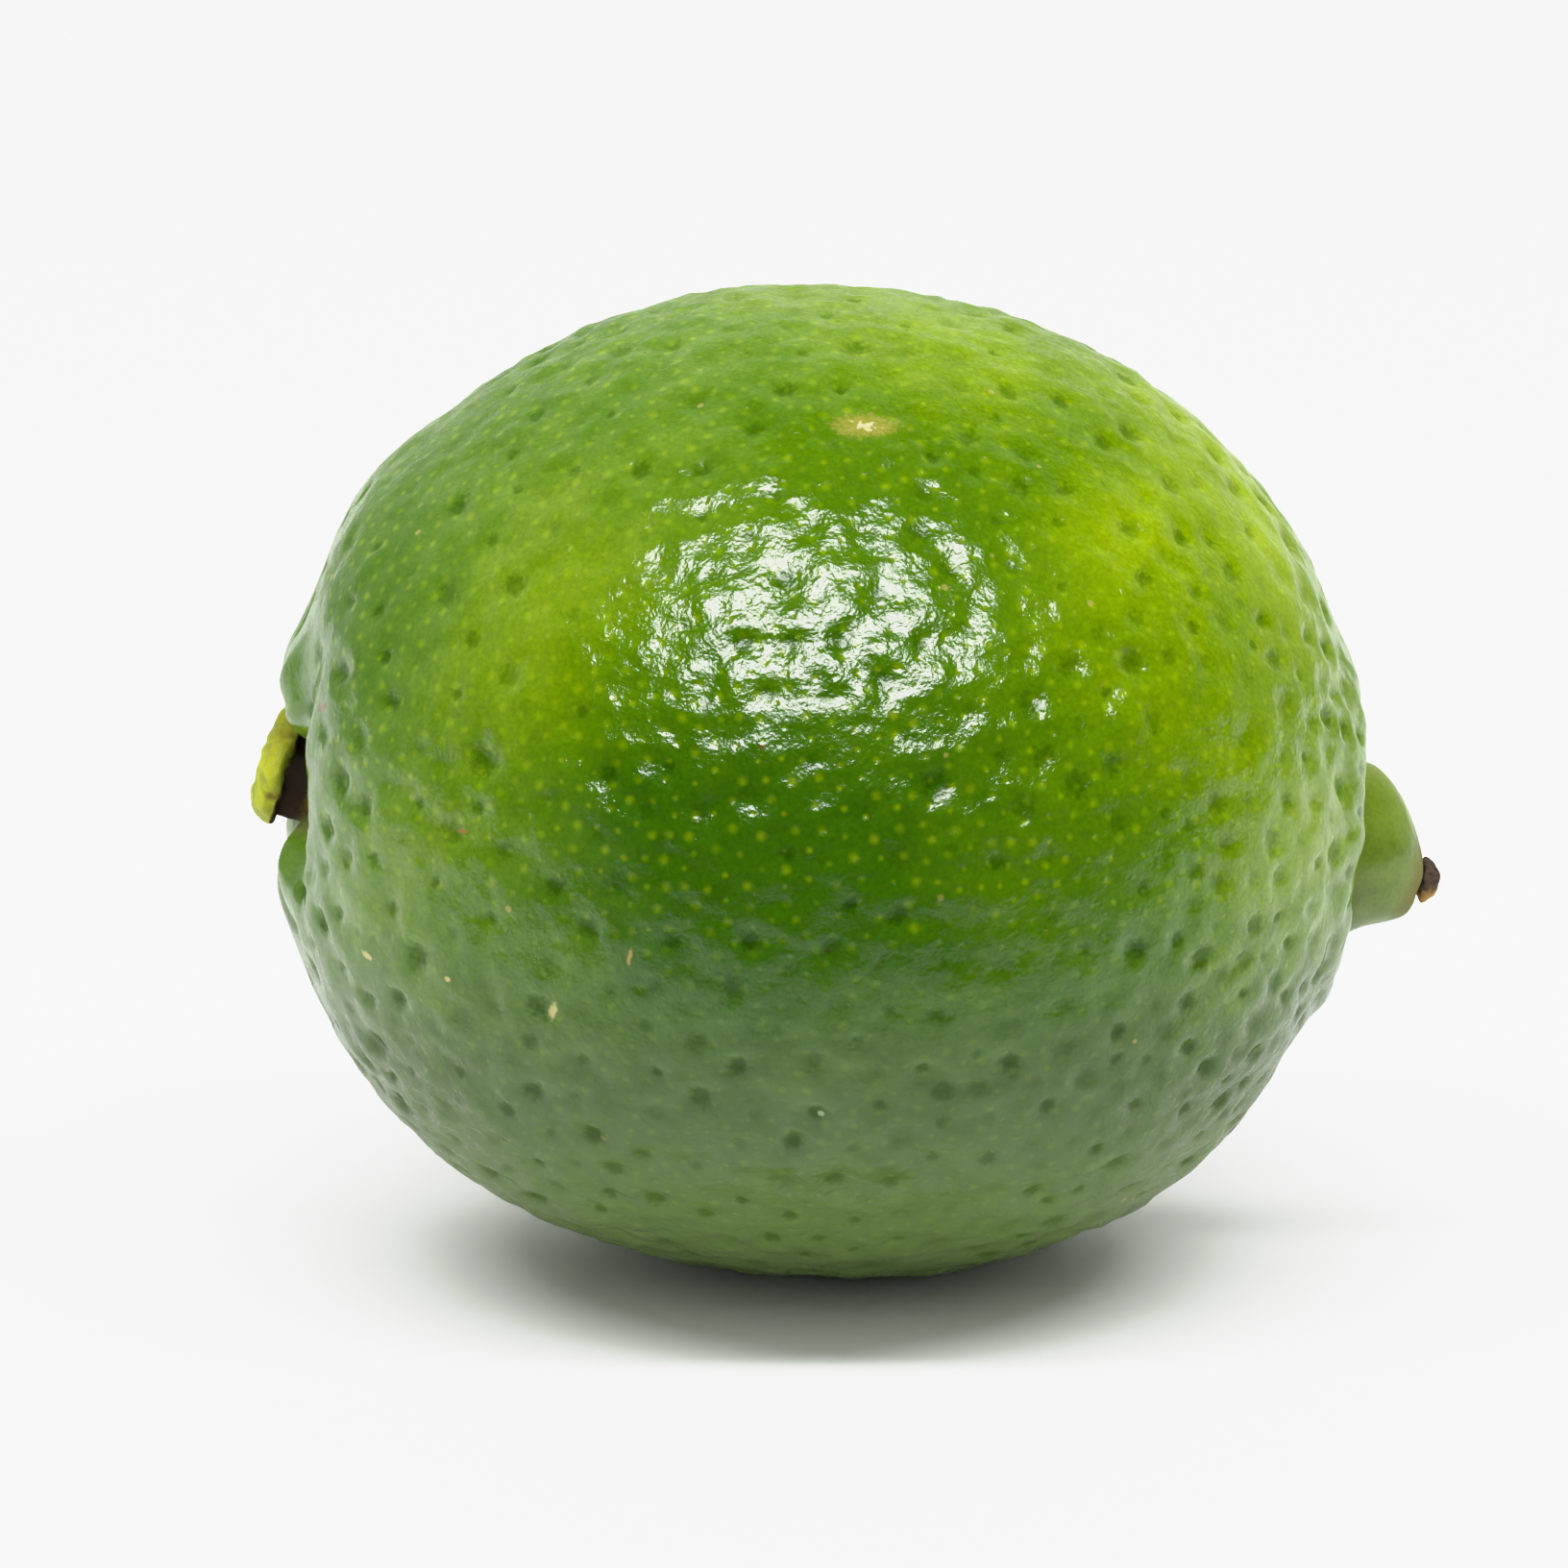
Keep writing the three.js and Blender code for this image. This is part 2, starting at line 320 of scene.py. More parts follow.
RIM_RADIUS = 7.6  # of the swollen rim round the nipple's furrow
RIM_WIDTH = 1.9
RIM_SWELLING = 0.8
EVENING_LOSS = 0.2  # what the smoothing took off the guide, given back

# Where the fruit is fuller than its guide: place along the axis, reach along it, height above and below.
FULLER_PARTS = ((-25, 2.7, 0.95, 0.0), (-17, 9, -0.12, 0.5), (17, 8, -0.12, 0.15))
COLLAR_RADIUS = 5.3  # of the swelling round the calyx
COLLAR_WIDTH = 2.0
COLLAR_ABOVE, COLLAR_BELOW = 0.85, 0.4  # its height over the calyx and under it
BASIN_RADIUS = 9.5
BASIN_DIP = 2.8  # how much lower the calyx's basin is at its front edge
TIP_FULLNESS = 0.16  # how much taller the nipple's upper half is near its tip
TIP_TAPER = 0.3  # how much the nipple narrows below, towards its tip
NIPPLE_SAG = 0.4
GLANDS_FREE_STEM, GLANDS_FREE_NIPPLE = 3.6, 6.2  # radii of the two ends' skin without glands
GLAND_JITTER = 0.16
GLAND_NEAREST = 0.78  # least distance between two glands when strewn, as a share of their spacing
GLAND_REACH = 1.25  # how far a gland pushes others away, in the same terms
GLAND_PUSH = 0.22  # how far two close glands move apart in a round, as a share of their spacing

# Where the fruit ripened most: place along the axis, degrees round it from top to front, reach, strength.
RIPE_PATCHES = (
    (13.8, 42, 5, 0.4), (21, 14, 8, 0.6), (5, 18, 6, 0.15), (4, 84, 7, 0.08), (20, 62, 7, 0.22),
    (24, 80, 8, 0.25), (10, 60, 7, 0.08), (-16, 62, 8, 0.32), (0, 5, 12, 0.22),
    (-14, 30, 8, 0.05), (8, 215, 16, 0.35), (-14, 265, 12, 0.3),
)
NIPPLE_RIPENESS = 0.2
# Where the rind is greener, in the same terms. The broad patch low on the front, 150 degrees round, is
# painted shade.
GREENER_PATCHES_AND_PAINTED_SHADE = (
    (-1, 84, 9, 0.42), (-10, 84, 6, 0.25), (4, 58, 6, 0.1), (11, 31, 4.5, 0.12),
    (-24, 60, 9, 0.2), (10, 98, 10, 0.2), (-2, 150, 18, 0.25), (-8, 300, 15, 0.3),
)

# Where the pale wax and its painted haze are left off, in the same terms: mostly across the front and about
# the highlight, where the wax mirrors the dark front of the room.
HAZE_FREE_PATCHES = (
    (-3, 80, 11, 0.7), (8, 78, 12, 0.9), (13, 30, 9, 0.7), (14, 45, 9, 0.7), (22, 45, 10, 0.7),
    (0, 50, 10, 0.6), (-10, 60, 8, 0.35), (5, 25, 8, 0.35), (-16, 78, 6, 0.3),
    (3, 230, 12, 0.6),
)


def rind_frame(point):
    """Where a point lies on the fruit: along its axis, distance from it, degrees round it."""
    offset = point - CENTRE
    along = offset.dot(AXIS)
    up, front = offset.dot(AXIS_UP), offset.dot(TOWARDS_FRONT)
    return along, hypot(up, front), degrees(atan2(front, up))


def stem_frame(point):
    """Where a point lies on the stem end: distance from the calyx's middle, turn round it."""
    offset = point - CALYX_PLACE
    up, front = offset.dot(AXIS_UP), offset.dot(TOWARDS_FRONT)
    return hypot(up, front), atan2(front, up)


def rind_place(skin, along, around):
    """The point of the skin at that place along the axis and that many degrees round it."""
    turn = radians(around)
    outward = AXIS_UP * cos(turn) + TOWARDS_FRONT * sin(turn)
    hit = skin.ray_cast((CENTRE + AXIS * along) * MM, outward)[0]
    if hit is None:
        raise RuntimeError(f"there is no rind at {along} mm along the fruit")
    return hit / MM


def smooth_guide():
    """A copy of the frame's fruit with its coarse dimples evened out, for the rind to be laid on."""
    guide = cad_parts["lime_fruit"].copy()
    guide.data = guide.data.copy()
    bpy.context.scene.collection.objects.link(guide)
    guide.parent = None
    begin_edit(guide)
    bpy.ops.mesh.select_all(action="SELECT")
    bpy.ops.mesh.remove_doubles(threshold=0.01 * MM)
    bpy.ops.mesh.tris_convert_to_quads(face_threshold=QUAD_LIMIT, shape_threshold=QUAD_LIMIT)
    end_edit()
    belly = guide.vertex_groups.new(name="belly")
    for vertex in guide.data.vertices:
        along, radius, _ = rind_frame(vertex.co / MM)
        care = NIPPLE_CARE if along > 0 else STEM_CARE
        belly.add([vertex.index], clamp((radius - care + 2) / 4), "REPLACE")
    apply_modifier(guide, "SMOOTH", factor=0.5, iterations=EVENING_ROUNDS, vertex_group="belly")
    subdivide_smoothly(guide, 1)
    return guide


def rough_fruit():
    """A ball drawn out to the fruit's length, with the nipple pulled out of its end cap."""
    deselect_all()
    bpy.ops.mesh.primitive_uv_sphere_add(
        segments=FRUIT_SEGMENTS,
        ring_count=FRUIT_RINGS,
        radius=FRUIT_RADIUS * MM,
        location=CENTRE * MM,
        rotation=(0, pi / 2 + AXIS_TILT, 0),
    )
    fruit = bpy.context.object
    bpy.ops.object.transform_apply(location=True, rotation=True, scale=True)
    begin_edit(fruit)
    bpy.ops.mesh.select_all(action="SELECT")
    bpy.ops.transform.resize(value=(FRUIT_HALF_LENGTH / FRUIT_RADIUS, 1, 1), center_override=CENTRE * MM)
    pick_faces(fruit, lambda middle, normal: middle.x > CENTRE.x and rind_frame(middle)[1] < NIPPLE_FOOT)
    tip = CENTRE + AXIS * FRUIT_HALF_LENGTH
    for step, share in NIPPLE_STEPS:
        tip = tip + AXIS * step
        bpy.ops.mesh.extrude_region_move(TRANSFORM_OT_translate={"value": AXIS * step * MM})
        bpy.ops.transform.resize(value=(1, share, share), center_override=tip * MM)
    end_edit()
    return fruit


NOWHERE = Vector((0, 0, -1000))  # stands in for a gland or mark where there is none


def strew_places(skin, seed):
    """Strews places over the skin by chance: each has its point, its normal and five chances of its own."""
    draw = random.Random(seed)
    strewn = []
    for _ in range(PLACES_TRIED):
        along, turn, *chances = (draw.random() for _ in range(7))
        outward = AXIS_UP * cos(2 * pi * turn) + TOWARDS_FRONT * sin(2 * pi * turn)
        start = CENTRE + AXIS * (TRIED_LENGTH * along + TRIED_FROM)
        hit, normal, _, _ = skin.ray_cast(start * MM, outward)
        if hit is not None:
            strewn.append((hit / MM, normal, chances))
    return strewn


def thin_out(strewn, spacing_at):
    """Keeps the strewn places that are no closer to an earlier one than the spacing there."""
    cell = min(spacing_at(point) for point, _, _ in strewn[:500])
    taken, kept = {}, []
    for candidate in strewn:
        point = candidate[0]
        spacing = spacing_at(point)
        reach = ceil(spacing / cell)
        x, y, z = (int(v // cell) for v in point)
        near = (
            other
            for i in range(x - reach, x + reach + 1)
            for j in range(y - reach, y + reach + 1)
            for k in range(z - reach, z + reach + 1)
            for other in taken.get((i, j, k), ())
        )
        if all((other - point).length_squared > spacing * spacing for other in near):
            taken.setdefault((x, y, z), []).append(point)
            kept.append(candidate)
    return kept


def point_tree(points):
    """A tree that finds which of the points is nearest."""
    tree = kdtree.KDTree(len(points))
    for i, point in enumerate(points):
        tree.insert(point, i)
    tree.balance()
    return tree


def skin_of(mesh):
    """A tree that finds where a ray meets the mesh."""
    return BVHTree.FromPolygons([v.co for v in mesh.vertices], [p.vertices for p in mesh.polygons])


def set_face_vectors(mesh, name, vectors):
    """Keeps a vector for each face."""
    attribute = mesh.attributes.new(name, "FLOAT_VECTOR", "FACE")
    attribute.data.foreach_set("vector", [value for vector in vectors for value in vector])


def crowding(point):
    """From 0 where pits lie far apart to 1 where they crowd, as at the nipple end and underneath."""
    along, _, around = rind_frame(point)
    patchy = 0.5 + 0.9 * noise(point / 9 + Vector((3, 7, 1)))
    low_front = max(0, cos(radians(around - 140)))
    return clamp(0.62 * patchy + 0.3 * low_front + 0.02 * max(0, along))


def carries_pits(point):
    """Whether a point lies on the rind that carries pits, away from the calyx's seat and the nipple."""
    along, radius, _ = rind_frame(point)
    return stem_frame(point)[0] > PIT_FREE_STEM if along < 0 else radius > PIT_FREE_NIPPLE


def press_pits(skin, tree, rise, sizes):
    """Lowers the rise of the mesh's points for each pit and broad dimple, and returns what the pits are."""
    spacing = sizes.pit_spacing / MM
    pits = []
    strewn = strew_places(skin, RIND_SEED)
    centres = thin_out(strewn, lambda point: spacing * (1.9 - 0.95 * crowding(point)))
    for centre, normal, (size, stretch, turn, depth, broad) in centres:
        if not carries_pits(centre):
            continue
        pit_radius = PIT_RADIUS[0] + (PIT_RADIUS[1] - PIT_RADIUS[0]) * size**1.6
        pit_depth = SHALLOWEST_PIT + (1 - SHALLOWEST_PIT) * depth
        pit_depth *= sizes.pit_depth / MM * min(1, pit_radius / 0.6)
        sideways = normal.cross(AXIS).normalized()
        long_way = sideways * cos(turn * pi) + normal.cross(sideways) * sin(turn * pi)
        length = 1 + PIT_STRETCH * stretch**2
        broad_radius = BROAD_DIMPLE_RADIUS[0] + (BROAD_DIMPLE_RADIUS[1] - BROAD_DIMPLE_RADIUS[0]) * broad
        broad_depth = BROAD_DIMPLE_DEPTH * (0.3 + 0.7 * crowding(centre)) * (0.4 + 0.6 * depth)
        pits.append((centre, pit_radius * (1 + 0.3 * (length - 1)), depth))
        for place, i, distance in tree.find_range(centre, broad_radius):
            lengthwise = (place - centre).dot(long_way)
            across = sqrt(max(0, distance * distance - lengthwise * lengthwise))
            ragged = 1 + 0.35 * noise(place * 1.7)
            share = hypot(lengthwise / length, across) / pit_radius * ragged
            if share < 1:
                rise[i] -= pit_depth * (1 - share * share) ** 1.5
            wide = 1 - (distance / broad_radius) ** 2
            rise[i] -= broad_depth * wide * wide
    return pits


def swelling_at(place, wave_height):
    """How far the rind stands out of its guide besides its pits: waves, fuller parts, creases and rim."""
    along, radius, around = rind_frame(place)
    from_calyx, calyx_turn = stem_frame(place)
    upper = cos(radians(around))
    front = sin(radians(around))
    fine_waves = 0.3 + 0.8 * ease((23 - abs(along + 1)) / 9)
    waves = noise(place / WAVE_LENGTHS[0])
    waves += fine_waves * noise(place / WAVE_LENGTHS[1] + Vector((9, 2, 4)))
    calm = clamp((from_calyx - 3 if along < 0 else radius - 6.5) / 2.5, 0.12)
    height = calm * (wave_height * waves + EVENING_LOSS)
    for middle, reach, above, below in FULLER_PARTS:
        fullness = above * max(0, upper) + below * max(0, -upper)
        height += fullness * hump(along - middle, reach) * ease((radius - 2.5) / 2.5)
    if along < 0:
        near_calyx = hump(from_calyx - STEM_CREASE_RADIUS, STEM_CREASE_REACH)
        crease = cos(STEM_CREASES * calyx_turn + 2.5 * noise(place / 5))
        return height - STEM_CREASE_DEPTH * near_calyx * max(0, crease)
    rim = hump(radius - RIM_RADIUS, RIM_WIDTH) * (0.5 + 0.4 * max(0, front))
    taper = ease((along - 27.9) / 1.6) * max(0, -upper) * ease((radius - 1.6) / 1.2)
    return height + RIM_SWELLING * rim - TIP_TAPER * taper


def shift_at(place):
    """How far a place is moved for the collar and basin round the calyx, or the nipple's sag and tip."""
    along, radius, _ = rind_frame(place)
    if along < 0:
        from_calyx, turn = stem_frame(place)
        collar = COLLAR_ABOVE * max(0, cos(turn)) + COLLAR_BELOW * max(0, -cos(turn))
        collar *= hump(from_calyx - COLLAR_RADIUS, COLLAR_WIDTH)
        basin = ease((BASIN_RADIUS - from_calyx) / 5) * ease((from_calyx - 1.0) / 1.2)
        return AXIS * (BASIN_DIP * basin * ease(3.2 * sin(turn) - 2.2) - collar)
    upward = (place - CENTRE).dot(AXIS_UP)
    on_nipple = ease((6.4 - radius) / 1.4) * ease((along - 25) / 1.2)
    fullness = TIP_FULLNESS * ease((along - 27) / 2) * max(0, upward)
    return AXIS_UP * on_nipple * (fullness - NIPPLE_SAG)


def shape_rind(fruit, sizes):
    """Gives the fine mesh the rind's relief, and keeps for each face which pit is nearest."""
    mesh = fruit.data
    places = [v.co / MM for v in mesh.vertices]
    normals = [v.normal.copy() for v in mesh.vertices]
    tree = point_tree(places)
    rise = [0.0] * len(places)
    pits = press_pits(skin_of(mesh), tree, rise, sizes)
    wave_height = sizes.unevenness / MM
    for vertex, place, normal, pressed in zip(mesh.vertices, places, normals, rise):
        moved = place + normal * (pressed + swelling_at(place, wave_height)) + shift_at(place)
        moved.z = max(0, moved.z)
        vertex.co = moved * MM
    middles = []
    for centre, _, _ in pits:
        _, i, _ = tree.find(centre)
        middles.append(mesh.vertices[i].co / MM + centre - places[i])
    pit_tree = point_tree(middles)
    nearest = [pit_tree.find(face.center / MM) for face in mesh.polygons]
    set_face_vectors(mesh, "pit_place", [place for place, _, _ in nearest])
    set_face_vectors(mesh, "pit_kind", [(pits[i][1], pits[i][2], 0) for _, i, _ in nearest])


def on_skin(skin, patches, sign=1):
    """The patches with their middles as points of the skin, and their strengths times the sign."""
    return [(rind_place(skin, *where), reach, sign * strength) for *where, reach, strength in patches]


def patch_sum(point, patches):
    """What the patches add up to at a point."""
    return sum(strength * hump((point - middle).length, reach) for middle, reach, strength in patches)


def ripen(fruit, skin):
    """Keeps for each point its ripeness, from 0, deep green, to 1, lime yellow, its pale wax with painted
    haze, and its cork.
    """
    patches = on_skin(skin, RIPE_PATCHES) + on_skin(skin, GREENER_PATCHES_AND_PAINTED_SHADE, -1)
    haze_free = on_skin(skin, HAZE_FREE_PATCHES)
    seed_set(RIND_SEED)  # or noise_vector would follow the clock
    ripeness, bloom_and_painted_haze, cork = [], [], []
    for vertex in fruit.data.vertices:
        place = vertex.co / MM
        along, radius, _ = rind_frame(place)
        on_nipple = ease((7 - radius) / 2) if along > 0 else 0
        bent = place + 3 * noise_vector(place / 8)
        ripe = 0.36 + 0.16 * noise(place / 11) + 0.08 * noise(place / 3)
        ripeness.append(ripe + patch_sum(bent, patches) + NIPPLE_RIPENESS * on_nipple)
        # The pale wax is partly real bloom and partly painted haze.
        wax = 0.8 + 0.3 * noise(place / 5 + Vector((2, 8, 5)))
        bloom_and_painted_haze.append(clamp(wax - patch_sum(bent, haze_free)))
        from_style = (place - STUB_PLACE).length + 0.5 * noise(place / 0.8)
        from_calyx = stem_frame(place)[0] + 0.8 * noise(place / 1.2)
        seat = 0.8 * ease((4.4 - from_calyx) / 1.4) if along < 0 else 0
        cork.append(max(ease((4.2 - from_style) / 2.6), seat, 0.22 * on_nipple))
    for name, values in (("ripeness", ripeness), ("bloom_and_painted_haze", bloom_and_painted_haze), ("cork", cork)):
        fruit.data.attributes.new(name, "FLOAT", "POINT").data.foreach_set("value", values)


def set_glands(fruit, skin, sizes):
    """Scatters the oil glands, and keeps for each face where the nearest one is."""
    middles = [p.center / MM for p in fruit.data.polygons]
    spacing = sizes.gland_spacing / MM
    nearest_allowed, reach = GLAND_NEAREST * spacing, GLAND_REACH * spacing
    glands = []
    for point, _, chances in thin_out(strew_places(skin, RIND_SEED + 2), lambda place: nearest_allowed):
        glands.append(point + GLAND_JITTER * Vector([2 * chance - 1 for chance in chances[:3]]))
    for _ in range(2):
        tree = point_tree(glands)
        moved = []
        for gland in glands:
            push = Vector()
            for other, _, distance in tree.find_range(gland, reach):
                if distance > 0:
                    push += (gland - other) / distance * (1 - distance / reach)
            moved.append(skin.find_nearest((gland + GLAND_PUSH * spacing * push) * MM)[0] / MM)
        glands = moved
    tree = point_tree(glands)
    nearest = []
    for middle in middles:
        along, radius, _ = rind_frame(middle)
        bare = radius < (GLANDS_FREE_STEM if along < 0 else GLANDS_FREE_NIPPLE)
        nearest.append(NOWHERE if bare else tree.find(middle)[0])
    set_face_vectors(fruit.data, "gland", nearest)


# Marks that grew or were rubbed on the rind: along the axis, degrees round it, length, width, turn, colour.
MARKS = (
    (0.3, 32.5, 1.75, 0.85, 4, "#8b8438"),
    (-12.4, 108.5, 0.55, 0.2, 80, "#b9b06a"),
    (-8.9, 98.6, 0.5, 0.12, 85, "#a98a4c"),
    (-17.8, 110, 0.16, 0.16, 0, "#bfb070"),
    (-22.0, 116, 0.3, 0.2, 30, "#bfae74"),
    (-17.7, 88, 0.28, 0.12, 20, "#8a5c2e"),
    (-25.5, 69, 0.26, 0.26, 0, "#63380f"),
    (0.7, 95, 0.2, 0.15, 0, "#3f2c14"),
    (-3.5, 73, 0.18, 0.12, 0, "#5a3a1c"),
    (1.3, 116, 0.2, 0.15, 0, "#93a878"),
    (4, 250, 1.9, 0.8, 30, "#9c9450"),
    (-9, 285, 0.5, 0.25, 60, "#b3a668"),
    (12, 300, 0.9, 0.35, 100, "#a89a58"),
)
MARK_REACH = 3.0


def set_marks(fruit, skin):
    """Keeps for each face near a mark of the rind where that mark is, its two axes and its colour."""
    facts = []
    for along, around, length, width, turn, hex_colour in MARKS:
        place = rind_place(skin, along, around)
        outward = (place - CENTRE - AXIS * along).normalized()
        sideways, angle = outward.cross(AXIS), radians(turn)
        long_way = AXIS * cos(angle) + sideways * sin(angle)
        short_way = sideways * cos(angle) - AXIS * sin(angle)
        facts.append((place, long_way / length, short_way / width, Vector(linear(hex_colour)[:3])))
    tree = point_tree([fact[0] for fact in facts])
    upwards = Vector((0, 0, 1))
    chosen = []
    for face in fruit.data.polygons:
        _, i, distance = tree.find(face.center / MM)
        chosen.append(facts[i] if distance < MARK_REACH else (NOWHERE, upwards, upwards, upwards))
    for column, name in enumerate(("mark_place", "mark_length", "mark_width", "mark_colour")):
        set_face_vectors(fruit.data, name, [fact[column] for fact in chosen])
    cores = [ease(0.7 / fact[1].length - 0.4) for fact in chosen]
    fruit.data.attributes.new("mark_core", "FLOAT", "FACE").data.foreach_set("value", cores)


def distance_from_mark(tree, here, ragged):
    """0 in the middle of a mark of the rind and 1 at its ragged, oval edge."""
    offset = calculate_vector(tree, "SUBTRACT", here, kept(tree, "mark_place", "Vector"))
    lengthwise, across = [
        calculate_vector(tree, "DOT_PRODUCT", offset, kept(tree, name, "Vector"), "Value")
        for name in ("mark_length", "mark_width")
    ]
    square = calculate(tree, "MULTIPLY_ADD", across, across, times(tree, lengthwise, lengthwise))
    return calculate(tree, "ADD", calculate(tree, "SQRT", square), ragged)


def flesh_colour(tree, colours, here, mottle, fine, dot):
    """The colour under the wax: ripeness, mottling, painted shade on the lower half with painted bounce
    light at the very bottom, the glands, and the pale wax with its painted haze.
    """
    shade = calculate(tree, "MULTIPLY_ADD", mottle, 0.3, kept(tree, "ripeness"))
    ramp = add_node(tree, "ValToRGB", {"Fac": calculate(tree, "SUBTRACT", shade, 0.15)})
    stops = (
        (0.0, colours.deep_green),
        (0.36, colours.green),
        (0.66, colours.yellow_green),
        (1.0, colours.lime_yellow),
    )
    while len(ramp.color_ramp.elements) < len(stops):
        ramp.color_ramp.elements.new(0.5)
    for element, (position, colour) in zip(ramp.color_ramp.elements, stops):
        element.position = position
        element.color = colour
    speckle = fade(tree, fine, 0.3, 0.7, 0.88, 1.1)
    grey = add_node(tree, "CombineColor", {0: speckle, 1: speckle, 2: speckle}).outputs[0]
    colour = blend_colours(tree, 1.0, ramp.outputs["Color"], grey, "MULTIPLY")
    # Painted shade: below the fruit's middle the rind turns a darker, duller green, and at the very bottom
    # a paler green that is painted bounce light from the floor. Heights above the floor, in millimetres,
    # with an edge that the mottling makes wavy.
    height = calculate(tree, "MULTIPLY_ADD", mottle, 8.0, split(tree, here)["Z"])
    belly = blend_colours(tree, fade(tree, height, 4.0, 19.0), colours.belly, colours.painted_shade_underside)
    colour = blend_colours(tree, fade(tree, height, 17.0, 28.0), belly, colour)
    clear = fade(tree, mottle, 0.32, 0.68, 0.16, 0.36)
    clear = times(tree, clear, fade(tree, height, 25.0, 33.0, 0.3, 1.0))
    colour = blend_colours(tree, times(tree, dot, clear), colour, colours.gland)
    # Pale wax over the colour: partly real bloom, partly painted haze standing in for the reflection of the
    # pale room.
    thickness = fade(tree, mottle, 0.3, 0.7, 0.01, 0.045)
    bloom_and_painted_haze = times(tree, kept(tree, "bloom_and_painted_haze"), thickness)
    return blend_colours(tree, bloom_and_painted_haze, colour, colours.bloom_and_painted_haze)


def rind_material(colours, sizes):
    """Citrus rind, grown: a waxy, glossy skin over translucent green flesh full of pale oil glands."""
    material, tree = start_material("citrus_rind_waxy")
    here = millimetre_place(tree)
    gland = kept(tree, "gland", "Vector")
    from_gland = calculate_vector(tree, "DISTANCE", here, gland, "Value")
    luck = add_node(tree, "TexWhiteNoise", {"Vector": gland}).outputs["Value"]
    gland_radius = sizes.gland_radius / MM
    gland_size = fade(tree, luck, 0.0, 1.0, 0.7 * gland_radius, 1.3 * gland_radius)
    dot = fade(tree, calculate(tree, "DIVIDE", from_gland, gland_size), 1.55, 0.1)
    mottle = cloud(tree, here, 0.55, 4.0)
    fine = cloud(tree, here, 4.0, 3.0)
    colour = flesh_colour(tree, colours, here, mottle, fine, dot)

    # Painted shade darkens the pits a little, the deep ones most.
    pit_facts = split(tree, kept(tree, "pit_kind", "Vector"))
    from_pit = calculate_vector(tree, "DISTANCE", here, kept(tree, "pit_place", "Vector"), "Value")
    from_pit = calculate(tree, "DIVIDE", from_pit, pit_facts["X"])
    from_pit = calculate(tree, "ADD", from_pit, calculate(tree, "MULTIPLY_ADD", fine, 0.9, -0.45))
    pit = fade(tree, from_pit, 1.0, 0.3)
    pit = times(tree, pit, fade(tree, pit_facts["Y"], 0.15, 0.9, 0.3, 1.0))
    colour = blend_colours(tree, pit, colour, linear("#c6d2a2"), "MULTIPLY")

    # Cork round the two ends, then the marks, with pale middles where they are large.
    cork = kept(tree, "cork")
    colour = blend_colours(tree, times(tree, cork, 0.75), colour, colours.cork)
    from_mark = distance_from_mark(tree, here, calculate(tree, "MULTIPLY_ADD", fine, 1.6, -0.8))
    mark = fade(tree, from_mark, 1.2, 0.5)
    core = times(tree, kept(tree, "mark_core"), fade(tree, from_mark, 0.4, 0.1))
    mark_colour = blend_colours(tree, core, kept(tree, "mark_colour", "Vector"), linear("#cfc49c"))
    colour = blend_colours(tree, times(tree, mark, 0.75), colour, mark_colour)

    # Stray pinprick flecks of rubbed wax and cork, one every few millimetres, all over the rind.
    cells = add_node(tree, "TexVoronoi", {"Vector": here, "Scale": 0.42})
    chance = add_node(tree, "SeparateColor", {0: cells.outputs["Color"]}).outputs[0]
    fleck = fade(tree, cells.outputs["Distance"], 0.1, 0.05)
    fleck = times(tree, fleck, fade(tree, chance, 0.84, 0.86))
    colour = blend_colours(tree, times(tree, fleck, 0.5), colour, linear("#a8964e"))

    # Skin cells crackle the wax, low swellings break up what it mirrors, and each gland is a faint dent.
    # The heights are in millimetres, and flatten towards the two ends.
    height = times(tree, cloud(tree, here, 5.5, 2.0), 0.034)
    height = calculate(tree, "MULTIPLY_ADD", cloud(tree, here, 0.85, 2.0), 0.16, height)
    height = calculate(tree, "MULTIPLY_ADD", dot, -0.022, height)
    evenness = fade(tree, calculate(tree, "ABSOLUTE", split(tree, here)["X"]), 17.0, 26.0, 1.0, 0.4)
    inputs = {"Height": height, "Distance": MM, "Strength": evenness}
    bump = add_node(tree, "Bump", inputs).outputs[0]

    rough = calculate(tree, "MULTIPLY_ADD", mark, 0.35, fade(tree, fine, 0.3, 0.7, 0.42, 0.5))
    turned_away = add_node(tree, "LayerWeight", {"Blend": 0.5}).outputs["Facing"]
    coat = calculate(tree, "MULTIPLY_ADD", cork, -0.8, calculate(tree, "MULTIPLY_ADD", pit, -0.4, 0.79))
    coat = times(tree, coat, fade(tree, turned_away, 0.6, 1.0, 1.0, 0.65))
    inputs = {
        "Base Color": colour,
        "Roughness": rough,
        "IOR": 1.45,
        "Specular IOR Level": 0.0,
        "Normal": bump,
        "Subsurface Weight": 0.2,
        "Subsurface Radius": (0.9, 1.4, 0.25),
        "Subsurface Scale": 0.6 * MM,
        "Coat Weight": coat,
        "Coat Roughness": 0.13,
        "Coat IOR": 1.45,
        "Coat Normal": bump,
    }
    finish_material(tree, add_node(tree, "BsdfPrincipled", inputs))
    return material


